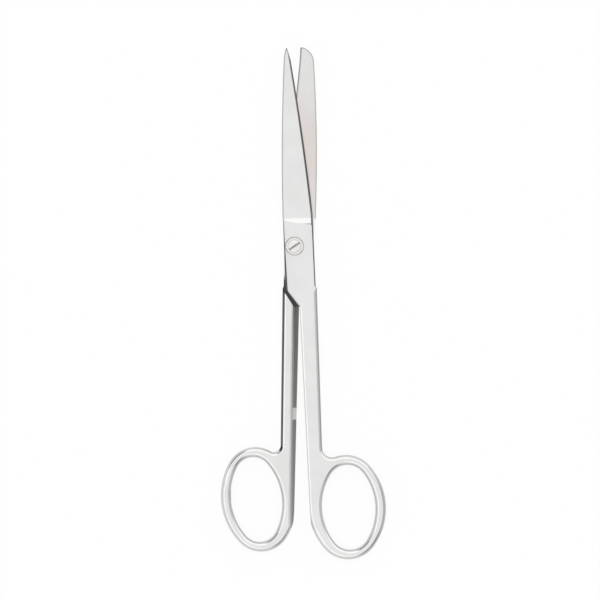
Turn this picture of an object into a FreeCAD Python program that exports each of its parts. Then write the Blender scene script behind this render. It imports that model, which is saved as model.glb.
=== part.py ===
import FreeCAD, Part
import math
import os
import Sketcher

# Straight operating scissors with one sharp and one blunt tip, in millimetres.
# The pivot axis is Z. The tips point along +Y and the finger rings lie towards -Y. The scissors lie
# flat on z = 0, so the origin is the point of the pivot axis on the plane that they rest on.
#
# Each half is one forging and is drawn in a frame of its own, as it lies when the scissors are shut:
# the pivot is at the origin, the plane where the two halves meet is z = 0 and the outer face is +z.
# The back of the blade is towards -x and its cutting edge towards +x. The lower half is drawn the
# same way and then turned over about its length.

# Points closer than CLOSE count as one. Two different edges of a piece are at least APART apart.
CLOSE = 0.01
APART = 0.3

doc = FreeCAD.newDocument("operating_scissors")
sheet = doc.addObject("Spreadsheet::Sheet", "sizes")

COMMON = {
    # how far the blades stand open as the scissors lie, in degrees
    "rest_opening": 4.0,
    # joint block and blades
    "half_thickness": 2.25,
    "joint_front": 9.2,
    "joint_step": 1.0,
    "bevel_width": 0.55,
    "bevel_height": 0.7,
    "plunge_line": 9.6,
    "plunge_radius": 4.0,
    "face_slope_angle": 6.6,
    "hollow_radius": 30.0,
    "hollow_depth": 0.26,
    "back_bevel_front": 0.15,
    "back_bevel_rear": 0.85,
    "side_bevel": 0.4,
    "bevel_overrun": 1.0,
    # shoulder where the joint steps up to the full-thickness shank
    "shoulder_start": 14.0,
    "shoulder_length": 5.4,
    "shoulder_width": 3.7,
    "shoulder_gap": 0.30,
    "joint_side_inset": 0.35,
    # shank and finger ring
    "nest_slant_front": 2.2,
    "nest_slant_rear": 1.3,
    "nest_stock": 0.4,
    "nest_overrun": 1.5,
    "nest_ridge_radius": 1.3,
    "nest_ridge_dip": 0.03,
    "cut_margin": 8.0,
    # radii of the handle's outer edges and of the hole's edges, as shares of the ring's thinnest wall
    "outer_edge_share": 0.44,
    "hole_edge_share": 0.46,
    # screw
    "neck_radius": 1.45,
    "neck_clearance": 0.04,
    "thread_radius": 1.25,
    "rivet_radius": 1.8,
    "rivet_depth": 0.55,
    "head_radius": 2.1,
    "head_clearance": 0.02,
    "head_rim_height": 0.62,
    "head_dome_height": 0.22,
    "head_edge_bevel": 0.18,
    "recess_radius": 2.75,
    "recess_depth": 0.7,
    "recess_edge_bevel": 0.3,
    "slot_width": 0.6,
    "slot_depth": 0.45,
    "slot_angle": 34.0,
}

UPPER = {
    "spine_root": 3.5,
    "spine_nose": 1.35,
    "spine_arc": 720.0,
    "nose_length": 3.9,
    "tip_reach": 64.1,
    "tip_left": 0.5,
    "tip_right": -0.2,
    "nose_arc": 14.0,
    "root_thickness": 1.72,
    "tip_thickness": 0.92,
    "edge_root": 6.2,
    "edge_nose": 0.86,
    "edge_arc": 840.0,
    "joint_spine_side": 3.4,
    "shank_outer_front": 6.75,
    "shank_outer_rear": 6.62,
    "nest_front": 0.8,
    "ring_x": 14.05,
    "ring_y": 84.9,
    "ring_tilt": 1.3,
    "hole_long": 13.68,
    "hole_short": 8.6,
    "hole_end": 6.3,
    "hole_shift": 0.52,
    "hole_drop": 0.06,
    "wall_long": 3.22,
    "wall_short": 3.95,
    "ring_blend": 3.2,
}

LOWER = {
    "spine_root": 6.5,
    "spine_nose": 4.15,
    "spine_arc": 500.0,
    "nose_length": 4.1,
    "tip_reach": 64.3,
    "tip_left": 0.5,
    "tip_right": 0.32,
    "nose_arc": 5.2,
    "root_thickness": 1.35,
    "tip_thickness": 0.86,
    "edge_root": 3.4,
    "edge_nose": 0.4,
    "edge_arc": 2500.0,
    "joint_spine_side": 6.1,
    "shank_outer_front": 3.4,
    "shank_outer_rear": 1.8,
    "nest_front": -2.3,
    "ring_x": 8.8,
    "ring_y": 82.2,
    "ring_tilt": -9.5,
    "hole_long": 13.74,
    "hole_short": 8.18,
    "hole_end": 5.8,
    "hole_shift": 0.62,
    "hole_drop": 0.07,
    "wall_long": 3.21,
    "wall_short": 3.87,
    "ring_blend": 2.2,
}


class Dim:
    """A length or angle: its number now, and the spreadsheet formula that gives it."""

    def __init__(self, number, formula=None):
        self.number = float(number)
        self.formula = formula or repr(float(number))

    def joined(self, other, number, sign):
        return Dim(number, f"({self.formula} {sign} {other.formula})")

    def __add__(self, other):
        other = as_dim(other)
        return self.joined(other, self.number + other.number, "+")

    def __sub__(self, other):
        other = as_dim(other)
        return self.joined(other, self.number - other.number, "-")

    def __mul__(self, other):
        other = as_dim(other)
        return self.joined(other, self.number * other.number, "*")

    def __truediv__(self, other):
        other = as_dim(other)
        return self.joined(other, self.number / other.number, "/")

    def __neg__(self):
        return Dim(-self.number, f"(-1 * {self.formula})")

    __radd__ = __add__
    __rmul__ = __mul__


def as_dim(value):
    return value if isinstance(value, Dim) else Dim(value)


def smaller(first, second):
    return Dim(min(first.number, second.number), f"min({first.formula}; {second.formula})")


def root(dim):
    return Dim(math.sqrt(dim.number), f"sqrt({dim.formula})")


def sine(degrees):
    return Dim(math.sin(math.radians(degrees.number)), f"sin({degrees.formula} * 1 deg)")


def cosine(degrees):
    return Dim(math.cos(math.radians(degrees.number)), f"cos({degrees.formula} * 1 deg)")


class Oval:
    """An oval of four tangent arcs. Its long axis stands tilt degrees anticlockwise of Y, and its ends
    have the radius end. The two long sides are arcs of a radius that follows from the rest."""

    def __init__(self, centre, long_semi, short_semi, end, tilt):
        self.centre, self.end = centre, end
        self.across, self.along = cosine(tilt), sine(tilt)
        squares = long_semi * long_semi + short_semi * short_semi
        self.side = (squares - long_semi * end * 2) / ((short_semi - end) * 2)
        # an end's centre, and a side's, lie so far from the middle of the oval
        self.end_offset = long_semi - end
        self.side_offset = self.side - short_semi

    def point(self, short_way, long_way):
        x = self.centre[0] + short_way * self.across - long_way * self.along
        y = self.centre[1] + short_way * self.along + long_way * self.across
        return x, y

    def draw(self, sketch):
        long_way = self.end_offset * self.side / (self.side - self.end)
        short_way = self.side_offset * self.end / (self.side - self.end)
        closed_outline(sketch, [
            self.point(short_way, -long_way),
            self.point(short_way, long_way),
            self.point(-short_way, long_way),
            self.point(-short_way, -long_way),
        ], arcs={
            0: (self.side, False),
            1: (self.end, False),
            2: (self.side, False),
            3: (self.end, False),
        })

    def leftmost(self):
        middle = self.point(self.side_offset, 0)
        return middle[0] - self.side, middle[1]

    def holds(self, point):
        """Whether a point lies in the box of the oval's own axes."""
        x, y = point.x - self.centre[0].number, point.y - self.centre[1].number
        short_way = abs(x * self.across.number + y * self.along.number)
        long_way = abs(y * self.across.number - x * self.along.number)
        short_reach = (self.side - self.side_offset).number + CLOSE
        long_reach = (self.end_offset + self.end).number + CLOSE
        return short_way < short_reach and long_way < long_reach


class Sizes:
    """The cells of one group of sizes, by name."""

    def __init__(self, cells, prefix, row):
        for name, number in cells.items():
            alias = prefix + name
            sheet.set(f"A{row}", alias)
            sheet.set(f"B{row}", repr(number))
            sheet.setAlias(f"B{row}", alias)
            setattr(self, name, Dim(number, f"sizes.{alias}"))
            row += 1
        self.next_row = row

    def work_out(self):
        """Sizes that follow from the ones in the cells."""
        self.nose_start = self.tip_reach - self.nose_length
        ring_long = self.hole_long + self.wall_long
        ring_short = self.hole_short + self.wall_short
        ring_centre = (self.ring_x, -self.ring_y)
        hole_centre = (self.ring_x + self.hole_shift, -self.ring_y - self.hole_drop)
        ring_end = self.hole_end + self.wall_short
        self.ring = Oval(ring_centre, ring_long, ring_short, ring_end, self.ring_tilt)
        self.hole = Oval(hole_centre, self.hole_long, self.hole_short, self.hole_end, self.ring_tilt)
        thinnest = smaller(self.wall_long - self.hole_drop, self.wall_short - self.hole_shift)
        self.outer_edge_radius = thinnest * common.outer_edge_share
        self.hole_edge_radius = thinnest * common.hole_edge_share
        self.ring_front = ring_long - self.ring_y
        self.ring_rear = ring_long + self.ring_y


common = Sizes(COMMON, "", 1)
upper = Sizes(UPPER, "upper_", common.next_row)
lower = Sizes(LOWER, "lower_", upper.next_row)
upper.work_out()
lower.work_out()
doc.recompute()


def origin_plane(body, role):
    for plane in body.Origin.OriginFeatures:
        if plane.Role == role:
            return plane
    raise ValueError(f"{body.Name} has no {role}")


def new_sketch(body, name, role, height=0.0, axis=(0, 0, 1), turn=0.0):
    """An empty sketch on one of the body's own planes, moved along the plane's normal by height and
    turned by so many degrees about an axis of the sketch."""
    sketch = body.newObject("Sketcher::SketchObject", name)
    sketch.AttachmentSupport = [(origin_plane(body, role), "")]
    sketch.MapMode = "FlatFace"
    height, turn = as_dim(height), as_dim(turn)
    rotation = FreeCAD.Rotation(FreeCAD.Vector(*axis), turn.number)
    sketch.AttachmentOffset = FreeCAD.Placement(FreeCAD.Vector(0, 0, height.number), rotation)
    sketch.setExpression("AttachmentOffset.Base.z", height.formula)
    sketch.setExpression("AttachmentOffset.Rotation.Angle", turn.formula)
    return sketch


def bind(sketch, kind, *place, size):
    """One driving constraint, tied to the formula of its size."""
    index = sketch.addConstraint(Sketcher.Constraint(kind, *place, size.number))
    sketch.setExpression(f"Constraints[{index}]", size.formula)


def pin(sketch, edge, end, point):
    """Holds one end of an edge at a point given by two formulas."""
    x, y = as_dim(point[0]), as_dim(point[1])
    bind(sketch, "DistanceX", -1, 1, edge, end, size=x)
    bind(sketch, "DistanceY", -1, 1, edge, end, size=y)


def vector(point):
    return FreeCAD.Vector(as_dim(point[0]).number, as_dim(point[1]).number, 0)


def arc_between(start, finish, radius, left):
    """The shorter arc from start to finish. It bulges to the left of the way there, or to the right."""
    chord = finish - start
    reach = chord.Length / 2
    side = FreeCAD.Vector(-chord.y, chord.x, 0).normalize() * (1 if left else -1)
    bulge = radius - math.sqrt(radius * radius - reach * reach)
    middle = (start + finish) / 2 + side * bulge
    return Part.Arc(start, middle, finish)


def closed_outline(sketch, points, arcs=None):
    """Joins the points in order and back to the first. An arc is named by the point it starts from:
    its radius, and whether it bulges to the left of the way to the next point."""
    arcs = arcs or {}
    count = len(points)
    for index in range(count):
        start = vector(points[index])
        finish = vector(points[(index + 1) % count])
        if index in arcs:
            radius, left = arcs[index]
            edge = sketch.addGeometry(arc_between(start, finish, radius.number, left), False)
            # an arc in a sketch runs anticlockwise, so one that bulges right keeps its direction
            begin, end = (2, 1) if left else (1, 2)
            bind(sketch, "Radius", edge, size=radius)
        else:
            edge = sketch.addGeometry(Part.LineSegment(start, finish), False)
            begin, end = 1, 2
        pin(sketch, edge, begin, points[index])
        pin(sketch, edge, end, points[(index + 1) % count])


def pad(body, name, sketch, length):
    feature = body.newObject("PartDesign::Pad", name)
    feature.Profile = sketch
    feature.Length = as_dim(length).number
    feature.setExpression("Length", as_dim(length).formula)
    feature.Refine = True
    return feature


def must_cut(body, feature):
    """Stops the build if a cut takes nothing away."""
    doc.recompute()
    if feature.BaseFeature.Shape.Volume - feature.Shape.Volume < CLOSE:
        raise ValueError(f"{body.Name}: {feature.Name} cuts nothing")


def pocket(body, name, sketch, length, midplane=False):
    feature = body.newObject("PartDesign::Pocket", name)
    feature.Profile = sketch
    feature.Midplane = midplane
    feature.Length = as_dim(length).number
    feature.setExpression("Length", as_dim(length).formula)
    feature.Refine = True
    return feature


def edge_names(shape, wanted):
    """The names of the edges whose middle, as a point, passes the test."""
    names = []
    for number, edge in enumerate(shape.Edges, start=1):
        middle = edge.valueAt((edge.FirstParameter + edge.LastParameter) / 2)
        if wanted(edge, middle):
            names.append(f"Edge{number}")
    return names


def dress(body, kind, name, wanted, **sizes):
    """A fillet or chamfer on the edges of the newest feature that pass the test."""
    doc.recompute()
    base = body.Tip
    names = edge_names(base.Shape, wanted)
    if not names:
        raise ValueError(f"{body.Name}: no edge for {name}")
    feature = body.newObject(f"PartDesign::{kind}", name)
    feature.Base = (base, names)
    if kind == "Chamfer":
        feature.ChamferType = "Two distances"
    for size_name, dim in sizes.items():
        setattr(feature, size_name, dim.number)
        feature.setExpression(size_name, dim.formula)
    doc.recompute()
    if "Invalid" in feature.State or feature.Shape.isNull():
        raise ValueError(f"{body.Name}: {name} could not be made")


def is_flat_edge(edge, height):
    return all(abs(vertex.Z - height) < CLOSE for vertex in edge.Vertexes)


def shoulder_points(own):
    """The corners of the shoulder: at the shank's outer side, at its far end and on the nesting face."""
    end = common.shoulder_start + common.shoulder_length
    outer = (own.shank_outer_front, -common.shoulder_start)
    far = (own.shank_outer_front - common.shoulder_width, -end)
    inner = (own.nest_front, -end)
    return outer, far, inner


def add_handle(body, own):
    """Shank and finger ring, as thick as the whole joint, with rounded edges."""
    thickness = common.half_thickness * 2
    outer, far, inner = shoulder_points(own)
    touch = own.ring.leftmost()

    shank_plan = new_sketch(body, "shank_plan", "XY_Plane", -common.half_thickness)
    closed_outline(shank_plan, [
        outer,
        far,
        (inner[0] - common.nest_stock, inner[1]),
        touch,
        (own.shank_outer_rear, touch[1]),
    ])
    pad(body, "shank", shank_plan, thickness)

    ring_plan = new_sketch(body, "ring_plan", "XY_Plane", -common.half_thickness)
    own.ring.draw(ring_plan)
    pad(body, "ring", ring_plan, thickness)

    ring_top, ring_middle = own.ring_front.number, -own.ring_y.number

    def is_junction(edge, middle):
        ends = [vertex.Point for vertex in edge.Vertexes]
        upright = len(ends) == 2 and math.hypot(ends[1].x - ends[0].x, ends[1].y - ends[0].y) < CLOSE
        return upright and middle.x > touch[0].number + APART and ring_middle < middle.y < ring_top

    dress(body, "Fillet", "ring_blend", is_junction, Radius=own.ring_blend)

    half = common.half_thickness.number
    shoulder_end = inner[1].number

    def is_outer_edge(edge, middle):
        level = is_flat_edge(edge, half) or is_flat_edge(edge, -half)
        on_shoulder = middle.y > shoulder_end - CLOSE and middle.x < outer[0].number - APART
        return level and not on_shoulder

    dress(body, "Fillet", "handle_edges", is_outer_edge, Radius=own.outer_edge_radius)

    hole_plan = new_sketch(body, "finger_hole_plan", "XY_Plane", common.half_thickness)
    own.hole.draw(hole_plan)
    must_cut(body, pocket(body, "finger_hole", hole_plan, thickness))

    def is_hole_edge(edge, middle):
        level = is_flat_edge(edge, half) or is_flat_edge(edge, -half)
        return level and own.hole.holds(middle)

    dress(body, "Fillet", "finger_hole_edges", is_hole_edge, Radius=own.hole_edge_radius)


def cut_nesting_face(body, own):
    """The slanted flat on the inner side, which lets the two shanks and rings lie side by side."""
    half = common.half_thickness
    shoulder_end = common.shoulder_start + common.shoulder_length
    touch = own.ring.leftmost()
    run = -touch[1] - shoulder_end
    front = shoulder_end - common.nest_overrun
    rear = own.ring_rear + common.nest_overrun

    def section(name, station):
        share = (station - shoulder_end) / run
        top_x = own.nest_front + (touch[0] + common.nest_stock - own.nest_front) * share
        slant = common.nest_slant_front + (common.nest_slant_rear - common.nest_slant_front) * share
        # the ridge is rounded a little below the flat face, so that the round meets the face at an angle
        length = root(slant * slant + half * half * 4)
        tangent = common.nest_ridge_radius * half * 2 / (length + slant)
        ridge_x = top_x + slant
        ridge_z = -half - common.nest_ridge_dip
        plan = new_sketch(body, name, "XZ_Plane", station)
        clear = top_x - common.cut_margin
        closed_outline(plan, [
            (top_x - slant / 2, half * 2),
            (ridge_x - tangent * slant / length, ridge_z + tangent * half * 2 / length),
            (ridge_x + tangent, ridge_z),
            (ridge_x + tangent, -half * 2),
            (clear, -half * 2),
            (clear, half * 2),
        ], arcs={1: (common.nest_ridge_radius, False)})
        return plan

    first = section("nesting_face_front", front)
    last = section("nesting_face_rear", rear)
    cut = body.newObject("PartDesign::SubtractiveLoft", "nesting_face")
    cut.Profile = first
    cut.Sections = [last]
    cut.Ruled = True
    must_cut(body, cut)


def rear_corner(own, other):
    """Where the back of the joint ends, in line with the shoulder of the other half."""
    side = -own.joint_spine_side
    gap_x = common.shoulder_gap - other.shank_outer_front
    slope = common.shoulder_length / (own.nest_front - gap_x)
    return side, -common.shoulder_start - (side - gap_x) * slope


def add_blade(body, own, other):
    """Half of the joint block and the blade, as one plate that meets the other half at z = 0."""
    half = common.half_thickness
    outer, far, inner = shoulder_points(own)
    corner = rear_corner(own, other)
    joint_right = own.shank_outer_front - common.joint_side_inset

    plan = new_sketch(body, "blade_plan", "XY_Plane")
    closed_outline(plan, [
        inner,
        corner,
        (-own.joint_spine_side, common.joint_front - common.joint_step),
        (-own.spine_root, common.joint_front),
        (-own.spine_nose, own.nose_start),
        (-own.tip_left, own.tip_reach),
        (own.tip_right, own.tip_reach),
        (own.edge_nose, own.nose_start),
        (own.edge_root, common.joint_front),
        (joint_right, common.joint_step - common.shoulder_start),
        outer,
        far,
    ], arcs={
        3: (own.spine_arc, True),
        4: (own.nose_arc, True),
        7: (own.edge_arc, True),
    })
    pad(body, "blade", plan, half)


def bevel_side(body, name, way, front, rear, front_width, rear_width):
    """A bevel at 45 degrees along an upper edge of the joint block, between two points in plan. way is
    1 where the block lies on the -x side of the edge, and -1 where it lies on the +x side."""
    half = common.half_thickness

    def section(end_name, point, width):
        plan = new_sketch(body, name + end_name, "XZ_Plane", -as_dim(point[1]))
        beyond = point[0] + common.bevel_overrun * way
        closed_outline(plan, [
            (point[0] - width * way, half),
            (beyond, half),
            (beyond, half - width - common.bevel_overrun),
        ])
        return plan

    first = section("_front", front, front_width)
    last = section("_rear", rear, rear_width)
    cut = body.newObject("PartDesign::SubtractiveLoft", name)
    cut.Profile = first
    cut.Sections = [last]
    cut.Ruled = True
    must_cut(body, cut)


def bevel_joint(body, own):
    """The bevel along the back of the joint widens towards the shank. The other side has an even one."""
    joint_front = common.joint_front - common.joint_step
    joint_rear = -common.shoulder_start - common.shoulder_length
    side = -own.joint_spine_side
    bevel_side(body, "back_bevel", -1, (side, joint_front), (side, joint_rear),
               common.back_bevel_front, common.back_bevel_rear)
    right_front = (own.edge_root, common.joint_front)
    right_rear = (own.shank_outer_front - common.joint_side_inset,
                  common.joint_step - common.shoulder_start)
    bevel_side(body, "side_bevel", 1, right_front, right_rear, common.side_bevel, common.side_bevel)


def grind_blade(body, own):
    """The outer face of the blade slopes from back to edge and from root to tip, and starts in a cove."""
    half = common.half_thickness
    reach = own.tip_reach - common.plunge_line
    fall = (own.root_thickness - own.tip_thickness) / reach
    top = half * 2
    rise = top - own.root_thickness
    radius = common.plunge_radius
    run = root(radius * radius - (radius - rise) * (radius - rise))
    beyond = own.tip_reach + common.cut_margin
    plan = new_sketch(body, "blade_face_profile", "YZ_Plane", 0.0, (1, 0, 0), common.face_slope_angle)
    closed_outline(plan, [
        (common.plunge_line - run, top),
        (common.plunge_line, own.root_thickness),
        (beyond, own.root_thickness - fall * (beyond - common.plunge_line)),
        (beyond, top),
    ], arcs={0: (radius, False)})
    must_cut(body, pocket(body, "blade_face", plan, common.cut_margin * 4, midplane=True))


def bevel_edge(body, own):
    """The narrow bevel along the cutting edge."""
    nose = own.nose_start.number
    plunge = common.plunge_line.number

    def is_edge_rim(edge, middle):
        long_way = plunge < middle.y < nose and edge.Length > (nose - plunge) / 2
        outer_face = middle.z > common.bevel_height.number / 2
        return long_way and outer_face and middle.x > own.edge_nose.number / 2

    dress(body, "Chamfer", "edge_bevel", is_edge_rim, Size=common.bevel_width, Size2=common.bevel_height)


def hollow_blade(body, own):
    """The shallow hollow of the inner face, which fades out towards the tip."""
    start = common.plunge_line.number
    length = own.nose_start.number - start
    root_middle = (own.edge_root.number - own.spine_root.number) / 2
    nose_middle = (own.edge_nose.number - own.spine_nose.number) / 2
    radius, depth = common.hollow_radius.number, common.hollow_depth.number
    first = FreeCAD.Vector(root_middle, start, depth - radius)
    last = FreeCAD.Vector(nose_middle, start + length, -radius)
    cut = body.newObject("PartDesign::SubtractiveCylinder", "hollow_grind")
    cut.Radius = radius
    cut.setExpression("Radius", common.hollow_radius.formula)
    cut.Height = (last - first).Length
    cut.Placement = FreeCAD.Placement(first, FreeCAD.Rotation(FreeCAD.Vector(0, 0, 1), last - first))
    must_cut(body, cut)


def turned_cut(body, name, points):
    """A round cut about the pivot axis, from a profile of radii and heights."""
    profile = new_sketch(body, name + "_profile", "XZ_Plane")
    closed_outline(profile, points)
    cut = body.newObject("PartDesign::Groove", name)
    cut.Profile = profile
    cut.ReferenceAxis = (profile, ["V_Axis"])
    cut.Angle = 360
    must_cut(body, cut)


def bore_upper(body):
    """Running bore for the screw's neck, under the shallow recess that holds its head."""
    half = common.half_thickness
    bore = common.neck_radius + common.neck_clearance
    floor = half - common.recess_depth
    turned_cut(body, "screw_bore", [
        (0, -half),
        (bore, -half),
        (bore, floor),
        (common.recess_radius, floor),
        (common.recess_radius, half - common.recess_edge_bevel),
        (common.recess_radius + common.recess_edge_bevel * 2, half + common.recess_edge_bevel),
        (0, half + common.recess_edge_bevel),
    ])


def bore_lower(body):
    """Threaded bore, here at its mean size, countersunk at the back for the riveted end."""
    half = common.half_thickness
    turned_cut(body, "screw_bore", [
        (0, -half),
        (common.thread_radius, -half),
        (common.thread_radius, half - common.rivet_depth),
        (common.rivet_radius, half),
        (common.rivet_radius, half * 2),
        (0, half * 2),
    ])


def make_half(label, own, other, bore):
    body = doc.addObject("PartDesign::Body", label)
    body.Label = label
    add_handle(body, own)
    cut_nesting_face(body, own)
    add_blade(body, own, other)
    bevel_joint(body, own)
    grind_blade(body, own)
    bevel_edge(body, own)
    hollow_blade(body, own)
    bore(body)
    return body


def make_screw():
    """Screw with a slotted, slightly domed head. Its lower end is riveted flush with the back."""
    body = doc.addObject("PartDesign::Body", "pivot_screw")
    body.Label = "pivot_screw"
    meeting = common.half_thickness
    seat = meeting * 2 - common.recess_depth + common.head_clearance
    rim = seat + common.head_rim_height
    dome = common.head_dome_height
    crown = common.head_radius - common.head_edge_bevel
    dome_radius = (crown * crown + dome * dome) / (dome * 2)
    profile = new_sketch(body, "screw_profile", "XZ_Plane")
    closed_outline(profile, [
        (0, 0),
        (common.rivet_radius, 0),
        (common.thread_radius, common.rivet_depth),
        (common.thread_radius, meeting),
        (common.neck_radius, meeting),
        (common.neck_radius, seat),
        (common.head_radius, seat),
        (common.head_radius, rim - common.head_edge_bevel),
        (crown, rim),
        (0, rim + dome),
    ], arcs={8: (dome_radius, False)})
    turned = body.newObject("PartDesign::Revolution", "screw")
    turned.Profile = profile
    turned.ReferenceAxis = (profile, ["V_Axis"])
    turned.Angle = 360
    doc.recompute()

    slot_plan = new_sketch(body, "slot_plan", "XY_Plane", rim + dome + 1, turn=common.slot_angle)
    long_side = common.recess_radius
    closed_outline(slot_plan, [
        (long_side, common.slot_width / 2),
        (-long_side, common.slot_width / 2),
        (-long_side, -common.slot_width / 2),
        (long_side, -common.slot_width / 2),
    ])
    must_cut(body, pocket(body, "slot", slot_plan, common.slot_depth + 1))
    return body


upper_half = make_half("upper_half", upper, lower, bore_upper)
lower_half = make_half("lower_half", lower, upper, bore_lower)
pivot_screw = make_screw()

# The shut halves meet half way up. Each is then turned about the pivot by half the rest opening.
Z_AXIS = FreeCAD.Vector(0, 0, 1)
meeting_point = FreeCAD.Vector(0, 0, common.half_thickness.number)
half_opening = common.rest_opening.number / 2
turned_over = FreeCAD.Rotation(FreeCAD.Vector(0, 1, 0), 180)
upper_half.Placement = FreeCAD.Placement(meeting_point, FreeCAD.Rotation(Z_AXIS, half_opening))
lower_turn = FreeCAD.Rotation(Z_AXIS, -half_opening).multiply(turned_over)
lower_half.Placement = FreeCAD.Placement(meeting_point, lower_turn)
doc.recompute()

for item in doc.Objects:
    if "Invalid" in item.State or "Error" in item.State:
        raise ValueError(f"{item.Name} failed: {item.State}")

os.makedirs("parts", exist_ok=True)
for body in (upper_half, lower_half, pivot_screw):
    shape = body.Shape
    if shape.isNull() or not shape.isValid() or len(shape.Solids) != 1:
        raise ValueError(f"{body.Label} is not one valid solid")
    print(f"{body.Label}: {shape.Volume:.1f} cubic mm")
    shape.exportStep(f"parts/{body.Label}.step")
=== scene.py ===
import math

import bpy
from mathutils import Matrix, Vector

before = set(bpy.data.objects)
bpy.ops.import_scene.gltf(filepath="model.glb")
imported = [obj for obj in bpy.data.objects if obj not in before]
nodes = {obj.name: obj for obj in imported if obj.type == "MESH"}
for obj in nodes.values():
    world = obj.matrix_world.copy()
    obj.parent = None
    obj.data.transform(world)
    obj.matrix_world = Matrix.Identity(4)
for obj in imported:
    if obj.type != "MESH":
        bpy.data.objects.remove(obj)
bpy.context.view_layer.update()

# Straight operating scissors of satin stainless steel, lying flat on a white table and seen from
# straight above. Lengths are in metres, as in the frame; MM turns a size in millimetres into metres.
# The pivot is at x and y 0, the tips point to +Y, and the upper half's ring lies on the side of +X.
MM = 0.001

UPPER = nodes["upper_half"]
LOWER = nodes["lower_half"]
SCREW = nodes["pivot_screw"]

WHITE = (1.0, 1.0, 1.0, 1.0)


class Graph:
    """A short way to write shader nodes. Most calls make one node and return its main output."""

    def __init__(self, tree):
        self.tree = tree

    def node(self, kind, inputs=None, **settings):
        made = self.tree.nodes.new(kind)
        for name, value in settings.items():
            setattr(made, name, value)
        for name, value in (inputs or {}).items():
            self.feed(made.inputs[name], value)
        return made

    def feed(self, socket, value):
        if isinstance(value, bpy.types.NodeSocket):
            self.tree.links.new(value, socket)
        else:
            socket.default_value = value

    def math(self, operation, first, second=0.0):
        return self.node("ShaderNodeMath", {0: first, 1: second}, operation=operation).outputs[0]

    def product(self, first, *others):
        for other in others:
            first = self.math("MULTIPLY", first, other)
        return first

    def dot(self, first, second):
        made = self.node("ShaderNodeVectorMath", {0: first, 1: second}, operation="DOT_PRODUCT")
        return made.outputs["Value"]

    def split(self, vector):
        return self.node("ShaderNodeSeparateXYZ", {"Vector": vector}).outputs

    def ramp(self, value, low, high, start=0.0, end=1.0):
        """Goes from start to end as value goes from low to high, and stays there outside that range."""
        inputs = {"Value": value, "From Min": low, "From Max": high, "To Min": start, "To Max": end}
        return self.node("ShaderNodeMapRange", inputs, interpolation_type="SMOOTHSTEP").outputs["Result"]

    def blend(self, share, first, second):
        mix = self.node("ShaderNodeMix", {"Factor": share}, data_type="RGBA")
        self.feed(mix.inputs["A"], first)
        self.feed(mix.inputs["B"], second)
        return mix.outputs["Result"]

    def place(self, scale=(1, 1, 1), turn=0.0):
        """The point of the body in its own frame, stretched, and turned by degrees about z."""
        coordinates = self.node("ShaderNodeTexCoord").outputs["Object"]
        inputs = {"Vector": coordinates, "Scale": scale, "Rotation": (0, 0, math.radians(turn))}
        return self.node("ShaderNodeMapping", inputs).outputs[0]

    def noise(self, where, scale, detail, roughness=0.5):
        inputs = {"Vector": where, "Scale": scale, "Detail": detail, "Roughness": roughness}
        return self.node("ShaderNodeTexNoise", inputs).outputs["Fac"]

    def occlusion(self, distance, **settings):
        made = self.node("ShaderNodeAmbientOcclusion", {"Distance": distance}, samples=8, **settings)
        return made.outputs["AO"]


def new_material(name):
    material = bpy.data.materials.new(name)
    material.use_nodes = True
    material.node_tree.nodes.clear()
    graph = Graph(material.node_tree)
    output = graph.node("ShaderNodeOutputMaterial")
    return material, graph, output


# The belt's marks on the steel: fine lines that give relief, coarser ones that change the gloss, and
# a faint cloudiness of the tone. Each scale is the number of features in a metre.
LINE_SCALE, LINE_STRETCH = 9000.0, (1, 0.03, 1)
MARK_SCALE, MARK_STRETCH = 2600.0, (1, 0.12, 1)
CLOUD_SCALE = 160.0
CLOUD_DARK, CLOUD_LIGHT = 0.975, 1.02
PATCH_SCALE, PATCH_STRETCH = 42.0, (2.0, 0.7, 1)
LINE_HEIGHT = 0.35e-6
GLOSS_LESS, GLOSS_MORE = -0.02, 0.04

# Painted shade on the steel: it is painted darker on steep sides, in corners and along edges,
# where shade and dark reflections fall. A share of 1 leaves the tone as it is, and 0 makes it the
# dark colour of the painted shade.
PAINTED_SHADE = (0.03, 0.028, 0.026, 1.0)
STEEP_SHARE = 0.8
CORNER_SHARE, CORNER_REACH = 0.1, 2.2 * MM
EDGE_SHARE, EDGE_REACH = 0.35, 0.6 * MM
SOFT_EDGE = 0.06 * MM

# Where a second tone starts and is full: up the nesting face, where a lighter band is painted,
# and along the blades towards the tips, where the cutting bevels are painted lighter.
RIM_START, RIM_FULL = 2.9 * MM, 3.9 * MM
TIP_START, TIP_FULL = 34.0 * MM, 60.0 * MM

# The painted highlight across the nesting face, and how softly it starts and ends.
SPOT_FRONT, SPOT_BACK = -52.5 * MM, -55.8 * MM
SPOT_FADE = 0.5 * MM

# The lower half's meeting face is painted dark close to the diagonal shoulder, as shade in the
# gap between the halves. These are the direction square to that shoulder, and how far along it
# the painted shade starts to fade and ends.
SHOULDER_SQUARE = (0.863, 0.504, 0.0)
SHOULDER_START, SHOULDER_END = -8.6 * MM, -7.0 * MM


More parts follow.
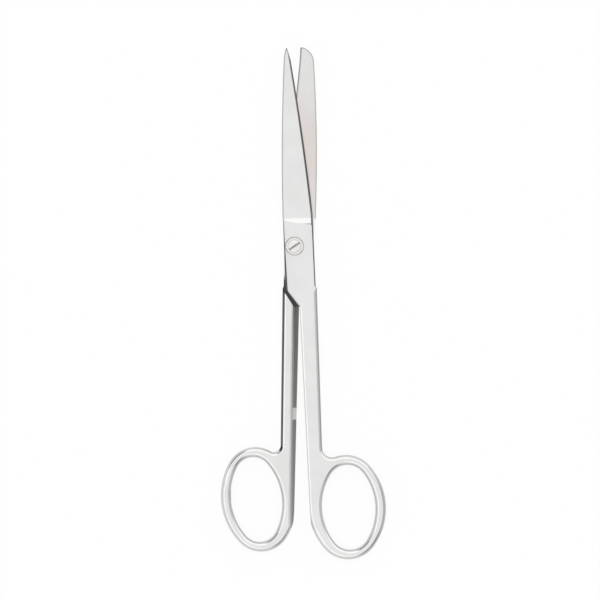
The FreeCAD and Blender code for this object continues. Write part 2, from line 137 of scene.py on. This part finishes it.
def steel_tone(graph, tone, second_tones):
    """The colour of the steel, with those of the tones tint, tip, rim, spot and shoulder that
    second_tones holds. tint comes in soft patches, up to where the blade's tip starts. tip and
    rim are painted lighter tones, spot is a painted highlight and shoulder is painted shade."""
    def solid(colour, factor=1.0):
        return tuple(min(1.0, channel * factor) for channel in colour) + (1.0,)

    position = graph.node("ShaderNodeTexCoord").outputs["Object"]
    along, upward = (graph.split(position)[name] for name in ("Y", "Z"))
    cloud = graph.noise(graph.place(), CLOUD_SCALE, detail=4.0)
    colour = graph.blend(graph.ramp(cloud, 0.3, 0.7), solid(tone, CLOUD_DARK), solid(tone, CLOUD_LIGHT))
    for name, second in second_tones.items():
        if name == "tint":
            patches = graph.noise(graph.place(scale=PATCH_STRETCH), PATCH_SCALE, detail=2.0)
            share = graph.product(graph.ramp(patches, 0.28, 0.62), graph.ramp(along, TIP_FULL, TIP_START))
        elif name == "tip":
            share = graph.ramp(along, TIP_START, TIP_FULL)
        elif name == "rim":
            share = graph.ramp(upward, RIM_START, RIM_FULL)
        elif name == "spot":
            share = graph.product(graph.ramp(along, SPOT_FRONT, SPOT_FRONT + SPOT_FADE, 1.0, 0.0),
                                  graph.ramp(along, SPOT_BACK - SPOT_FADE, SPOT_BACK))
        else:
            from_shoulder = graph.dot(position, SHOULDER_SQUARE)
            share = graph.ramp(from_shoulder, SHOULDER_START, SHOULDER_END, 1.0, 0.0)
        colour = graph.blend(share, colour, solid(second))
    return colour


def unshaded_share(graph, corners, edges):
    """How much of the tone is left: painted shade darkens it on steep sides, in deep corners and
    along sharp edges.
    """
    upright = graph.split(graph.node("ShaderNodeTexCoord").outputs["Normal"])["Z"]
    share = graph.ramp(graph.math("ABSOLUTE", upright), 0.3, 0.85, STEEP_SHARE, 1.0)
    if corners:
        open_share = graph.occlusion(CORNER_REACH)
        share = graph.product(share, graph.ramp(open_share, 0.25, 0.85, CORNER_SHARE, 1.0))
    if edges:
        solid_share = graph.occlusion(EDGE_REACH, inside=True, only_local=True)
        share = graph.product(share, graph.ramp(solid_share, 0.5, 0.95, EDGE_SHARE, 1.0))
    return share


def steel(name, tone, roughness, grain_turn=0.0, corners=True, edges=True, **second_tones):
    """Satin stainless steel with fine lines left by the polishing belt. corners and edges say whether
    it gets painted shade there."""
    material, graph, output = new_material(name)
    lines = graph.noise(graph.place(LINE_STRETCH, grain_turn), LINE_SCALE, detail=2.0)
    marks = graph.noise(graph.place(MARK_STRETCH, grain_turn), MARK_SCALE, detail=5.0, roughness=0.7)
    polished = steel_tone(graph, tone, second_tones)
    # Painted shade: the tone is blended towards a dark colour on steep sides, in corners and edges.
    colour = graph.blend(unshaded_share(graph, corners, edges), PAINTED_SHADE, polished)
    gloss = graph.math("ADD", graph.ramp(marks, 0.35, 0.7, GLOSS_LESS, GLOSS_MORE), roughness)
    soft_edge = graph.node("ShaderNodeBevel", {"Radius": SOFT_EDGE}, samples=4).outputs[0]
    relief = graph.node("ShaderNodeBump", {
        "Height": lines, "Strength": 1.0, "Distance": LINE_HEIGHT, "Normal": soft_edge,
    }).outputs[0]
    surface = graph.node("ShaderNodeBsdfPrincipled", {
        "Base Color": colour, "Metallic": 1.0, "Roughness": gloss, "Normal": relief,
    })
    graph.feed(output.inputs["Surface"], surface.outputs[0])
    return material


TONE = (0.70, 0.70, 0.695)
PLAIN = {"corners": False, "edges": False}
FINISHES = {
    "polished": steel("polished_steel", TONE, 0.13),
    "inner": steel("inner_face_steel", (0.68, 0.675, 0.665), 0.16, tint=(0.635, 0.595, 0.575)),
    # Painted dark reflection on the nesting face, with a painted light band and painted highlight.
    "nesting": steel("nesting_face_steel", (0.135, 0.133, 0.12), 0.3, rim=(0.47, 0.47, 0.45),
                     spot=(0.66, 0.66, 0.64), **PLAIN),
    # Painted shade on the meeting face beside the shoulder.
    "meeting": steel("meeting_face_steel", TONE, 0.16, shoulder=(0.05, 0.05, 0.05), **PLAIN),
    # Painted highlight: the ridge is painted lighter than the rest of the steel.
    "lit_ridge": steel("ridge_steel", (0.8, 0.8, 0.79), 0.2, **PLAIN),
    # Painted shade for dark reflections on shank sides and joint bevels, darkest at the corner.
    "shaded_side": steel("dark_side_steel", (0.12, 0.12, 0.118), 0.2),
    "shaded_corner": steel("dark_corner_steel", (0.03, 0.03, 0.03), 0.2),
    "handle": steel("handle_steel", TONE, 0.13, edges=False),
    # Painted shade for dark reflections on the upper half's outward sides, shank and right ring.
    "shaded_outer_rim": steel("outer_rim_steel", (0.36, 0.36, 0.355), 0.16),
    "shaded_ring_side": steel("ring_side_steel", (0.55, 0.55, 0.54), 0.16),
    # Painted shade for a dark reflection on cutting and joint bevels, painted lighter at the tips.
    "shaded_cutting": steel("cutting_bevel_steel", (0.25, 0.235, 0.225), 0.25, tip=(0.48, 0.46, 0.45)),
    "recess": steel("recess_steel", (0.72, 0.71, 0.695), 0.2, **PLAIN),
}
SLOT_ANGLE = 34.0
SCREW_FINISHES = {
    "head": steel("screw_steel", (0.72, 0.715, 0.705), 0.18, grain_turn=SLOT_ANGLE, **PLAIN),
    # Painted shade: the slot's faces are painted dark and warm.
    "slot": steel("slot_steel", (0.36, 0.3, 0.27), 0.4, **PLAIN),
}

# Where the finishes change, in millimetres from the pivot and up from the table.
BLADE_START = 9.6
JOINT_LINE_FADES = -6.0
SHANK_START, SHANK_CORNER, SHANK_END = -14.0, -56.0, -66.0
HANDLE_START = -19.0
JOINT_END = -21.0
NESTING_END = -101.0
LEFT_SHANK, LEFT_SHANK_RIDGE = -8.5, -6.0
RIGHT_RING = 19.0
MEETING_HEIGHT = 2.25
RECESS_REACH, RECESS_BELOW, JOINT_TOP = 3.5, 3.5, 4.49
SLOT_REACH, SLOT_BELOW, SLOT_FLOOR = 2.0, 3.9, 4.3


# In the functions below, normal.z is 1 on a flat top, 0.7 on a slope of 45 degrees and 0 on an
# upright side. middle is the middle of the face, in millimetres.
def upper_finish(normal, middle):
    if middle.xy.length < RECESS_REACH and RECESS_BELOW < middle.z < JOINT_TOP:
        return "recess"
    outward = normal.x > 0.35 and abs(normal.y) < 0.4 and normal.z > 0.1 and middle.z > MEETING_HEIGHT
    if outward and middle.x > RIGHT_RING:
        return "shaded_ring_side"
    if outward and SHANK_END < middle.y < SHANK_START and normal.z < 0.75:
        return "shaded_outer_rim"
    bevel = 0.35 < normal.z < 0.9 and abs(normal.x) > 0.4 and abs(normal.y) < 0.5
    if bevel and JOINT_END < middle.y < BLADE_START:
        return "shaded_side" if middle.x < 0 or middle.y > JOINT_LINE_FADES else "shaded_cutting"
    if middle.y > BLADE_START and normal.x > 0.5 and normal.z > 0.1:
        return "shaded_cutting"
    if middle.y > BLADE_START and normal.z < -0.9:
        return "inner"
    return "handle" if middle.y < HANDLE_START else "polished"


def lower_finish(normal, middle):
    faces_upper_half = abs(normal.y) < 0.07 and middle.y < HANDLE_START
    if faces_upper_half and normal.x > 0.8 and 0.1 < normal.z < 0.56:
        return "nesting"
    on_ridge = middle.x > LEFT_SHANK_RIDGE and middle.y > NESTING_END
    if faces_upper_half and on_ridge and normal.x > 0.2 and 0.56 < normal.z < 0.98:
        return "lit_ridge"
    on_shank = SHANK_END < middle.y < SHANK_START and LEFT_SHANK < middle.x < 0
    upper_side = middle.z > MEETING_HEIGHT and 0.2 < normal.z < 0.88
    if on_shank and upper_side and (normal.x < -0.3 or normal.y > 0.4):
        return "shaded_corner" if middle.y < SHANK_CORNER else "shaded_side"
    if middle.y > BLADE_START and normal.z > 0.9:
        return "inner"
    if normal.z > 0.95 and abs(middle.z - MEETING_HEIGHT) < 0.1:
        return "meeting"
    return "handle" if middle.y < HANDLE_START else "polished"


def screw_finish(normal, middle):
    over_slot = middle.z > SLOT_BELOW and middle.xy.length < SLOT_REACH
    return "slot" if over_slot and (abs(normal.z) < 0.1 or middle.z < SLOT_FLOOR) else "head"


def dress(item, finishes, choose):
    """Gives each face of a node the finish that choose names."""
    names = list(finishes)
    item.data.materials.clear()
    for name in names:
        item.data.materials.append(finishes[name])
    for polygon in item.data.polygons:
        polygon.material_index = names.index(choose(polygon.normal, polygon.center / MM))


dress(UPPER, FINISHES, upper_finish)
dress(LOWER, FINISHES, lower_finish)
dress(SCREW, SCREW_FINISHES, screw_finish)

# The table: white, and wide enough that every view from above looks at it and at nothing else. It
# lies just below the scissors. GLOW_SHARE is how much of it is even white where it is seen or mirrored.
TABLE_SIZE = 12.0
TABLE_DROP = 0.02 * MM
GLOW_SHARE = 0.93
PAPER = (0.96, 0.96, 0.96, 1.0)


def add_table():
    bpy.ops.mesh.primitive_plane_add(size=TABLE_SIZE, location=(0, 0, -TABLE_DROP))
    table = bpy.context.object
    table.name = "table"
    material, graph, output = new_material("table_white")
    path = graph.node("ShaderNodeLightPath").outputs
    mirrored = graph.math("MAXIMUM", path["Is Glossy Ray"], path["Is Transmission Ray"])
    seen = graph.math("MAXIMUM", path["Is Camera Ray"], mirrored)
    paper = graph.node("ShaderNodeBsdfDiffuse", {"Color": PAPER}).outputs[0]
    glow = graph.node("ShaderNodeEmission", {"Color": WHITE, "Strength": 1.0}).outputs[0]
    surface = graph.node("ShaderNodeMixShader", {0: graph.product(seen, GLOW_SHARE), 1: paper, 2: glow})
    graph.feed(output.inputs["Surface"], surface.outputs[0])
    table.data.materials.append(material)


# The studio, as the steel mirrors it: a wide soft light overhead with a brighter halo, a strong light
# beyond the tips, and a pale room down to the horizon, paler on the left. Two corners of the room are
# dark: to the left of the tips and to the right of the rings. Heights are the sine of the elevation.
OVERHEAD = 1.12
TIPS_LIGHT = 1.35
HALO = 0.42
ROOM, ROOM_LOSS_RIGHT = 0.88, 0.16
DIAGONAL = math.sqrt(0.5)
TIPS_CORNER = {"towards": (-DIAGONAL, DIAGONAL), "start": 0.86, "full": 0.98, "depth": 0.72}
RINGS_CORNER = {"towards": (DIAGONAL, -DIAGONAL), "start": 0.88, "full": 0.99, "depth": 0.5}


def light_left(graph, direction, towards, start, full, depth):
    """The share of the light that is left near one dark corner of the room."""
    height = direction["Z"]
    level_part = graph.math("SQRT", graph.math("SUBTRACT", 1.0, graph.math("POWER", height, 2.0)))
    along = graph.math("ADD", graph.product(direction["X"], towards[0]),
                       graph.product(direction["Y"], towards[1]))
    heading = graph.math("DIVIDE", along, graph.math("MAXIMUM", level_part, 0.01))
    band = graph.product(graph.ramp(height, 0.15, 0.4), graph.ramp(height, 0.72, 0.9, 1.0, 0.0))
    return graph.math("SUBTRACT", 1.0, graph.product(graph.ramp(heading, start, full), band, depth))


def studio_level(graph):
    """How bright the studio is in each direction."""
    direction = graph.split(graph.node("ShaderNodeTexCoord").outputs["Generated"])
    sideways, ahead, height = direction["X"], direction["Y"], direction["Z"]
    room = graph.math("SUBTRACT", ROOM, graph.ramp(sideways, -0.4, 0.7, 0.0, ROOM_LOSS_RIGHT))
    on_left = graph.ramp(height, 0.45, 0.8)
    on_right = graph.ramp(height, 0.6, 0.99)
    right = graph.ramp(sideways, 0.0, 0.5)
    overhead = graph.math("ADD", graph.product(graph.math("SUBTRACT", 1.0, right), on_left),
                          graph.product(right, on_right))
    around = graph.math("ADD", graph.product(overhead, OVERHEAD),
                        graph.product(graph.math("SUBTRACT", 1.0, overhead), room))
    halo = graph.product(graph.ramp(height, 0.7, 0.8), graph.ramp(height, 0.88, 0.955, HALO, 0.0),
                         graph.ramp(sideways, -0.1, 0.3, 1.0, 0.0))
    tips_light = graph.product(graph.ramp(ahead, 0.2, 0.34), graph.ramp(height, 0.2, 0.4, 0.0, TIPS_LIGHT))
    level = graph.math("MAXIMUM", graph.math("ADD", around, halo), tips_light)
    return graph.product(level, light_left(graph, direction, **TIPS_CORNER),
                         light_left(graph, direction, **RINGS_CORNER))


def add_studio():
    world = bpy.data.worlds.new("studio")
    bpy.context.scene.world = world
    world.use_nodes = True
    world.node_tree.nodes.clear()
    graph = Graph(world.node_tree)
    background = graph.node("ShaderNodeBackground", {"Color": WHITE, "Strength": studio_level(graph)})
    output = graph.node("ShaderNodeOutputWorld")
    graph.feed(output.inputs["Surface"], background.outputs[0])


# The camera looks straight down through a long lens. The photograph spans VIEW_WIDTH at the
# scissors, and its middle lies VIEW_MIDDLE from the pivot.
VIEW_WIDTH = 194.0 * MM
VIEW_MIDDLE = Vector((1.78 * MM, -17.39 * MM, 2.25 * MM))
CAMERA_HEIGHT = 2.5
CAMERA_REACH = 10.0
SENSOR_WIDTH = 36.0


def add_camera():
    lens = bpy.data.cameras.new("camera")
    lens.sensor_width = SENSOR_WIDTH
    lens.lens = SENSOR_WIDTH * CAMERA_HEIGHT / VIEW_WIDTH
    lens.clip_end = CAMERA_REACH
    camera = bpy.data.objects.new("camera", lens)
    bpy.context.scene.collection.objects.link(camera)
    camera.location = VIEW_MIDDLE + Vector((0, 0, CAMERA_HEIGHT))
    bpy.context.scene.camera = camera


add_table()
add_studio()
add_camera()
bpy.context.scene.view_settings.view_transform = "Standard"
